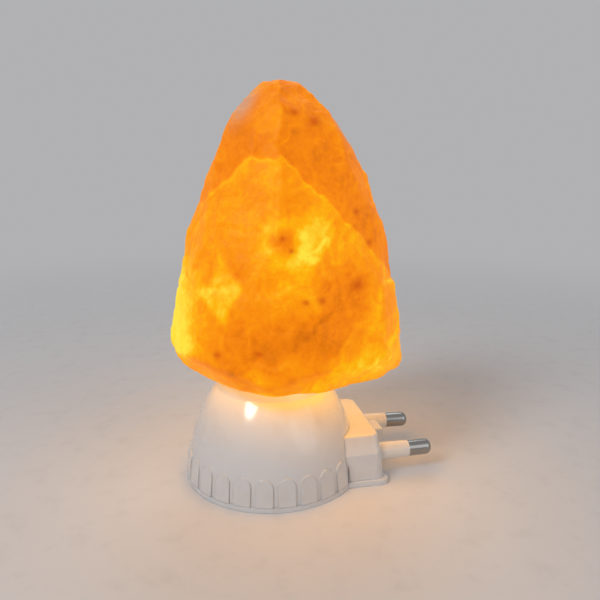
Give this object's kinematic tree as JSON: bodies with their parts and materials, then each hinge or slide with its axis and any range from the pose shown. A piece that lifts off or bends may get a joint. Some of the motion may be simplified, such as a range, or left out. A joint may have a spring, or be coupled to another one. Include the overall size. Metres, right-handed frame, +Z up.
{
  "type": "salt crystal lamp",
  "caption": "Plug-in night lamp with a rough orange salt crystal on a white domed base with a ribbed skirt and round plug pins.",
  "frame": {"origin": "on the dome's axis in the plane of the flat bottom cover that the lamp stands on", "axes": "+Z up through the dome and the crystal; +Y from the dome's axis out along the plug pins; +X to the side that the picture looks at"},
  "size_m": [0.0517, 0.0651, 0.0966],
  "materials": {
    "white_moulding": "glossy white moulded plastic",
    "sleeve_white": "smooth white insulating sleeve",
    "carrier_moulding": "plain moulded insulator",
    "holder_moulding": "heat-resistant moulding",
    "pin_nickel": "nickel-plated brass, lightly scuffed",
    "contact_brass": "pressed brass",
    "cap_nickel": "rolled bright cap",
    "screw_steel": "zinc-plated steel",
    "solder": "dull solder",
    "cap_insulator": "black cap glass",
    "wire_brown": "brown insulation",
    "wire_blue": "blue insulation",
    "bulb_glass": "clear glass",
    "filament": "glowing wire",
    "salt": "rough rock salt lit from inside"
  },
  "bodies": {
    "base": {"dome_housing": "white_moulding", "plug_housing": "white_moulding", "bottom_cover": "white_moulding", "cover_screws": "screw_steel", "plug_pin_left": "pin_nickel", "plug_pin_right": "pin_nickel", "pin_sleeve_left": "sleeve_white", "pin_sleeve_right": "sleeve_white", "pin_carrier": "carrier_moulding", "holder_body": "holder_moulding", "holder_screw_shell": "contact_brass", "holder_side_contact": "contact_brass", "holder_centre_contact": "contact_brass", "holder_terminal_screws": "screw_steel", "holder_mounting_screws": "screw_steel", "live_wire": "wire_brown", "neutral_wire": "wire_blue"},
    "crystal": {"salt_crystal": "salt"},
    "bulb_travel": {"bulb_contact": "solder"},
    "bulb": {"bulb_cap": "cap_nickel", "bulb_cap_insulator": "cap_insulator", "bulb_glass": "bulb_glass", "bulb_stem": "bulb_glass", "bulb_support_wires": "screw_steel", "bulb_filament": "filament"}
  },
  "joints": [
    {"name": "crystal_lift", "type": "slide", "parent": "base", "child": "crystal", "axis": [0, 0, 1], "range_m": [0, 0.06]},
    {"name": "bulb_lift", "type": "slide", "parent": "base", "child": "bulb_travel", "axis": [0, 0, 1], "range_m": [0, 0.0127]},
    {"name": "bulb_turn", "type": "hinge", "parent": "bulb_travel", "child": "bulb", "pos_m": [0, 0, 0.0245], "axis": [0, 0, 1], "range_deg": [0, 1620]}
  ],
  "couplings": [
    {"joint": "bulb_lift", "follows": "bulb_turn", "m_per_rad": 0.00044882}
  ]
}
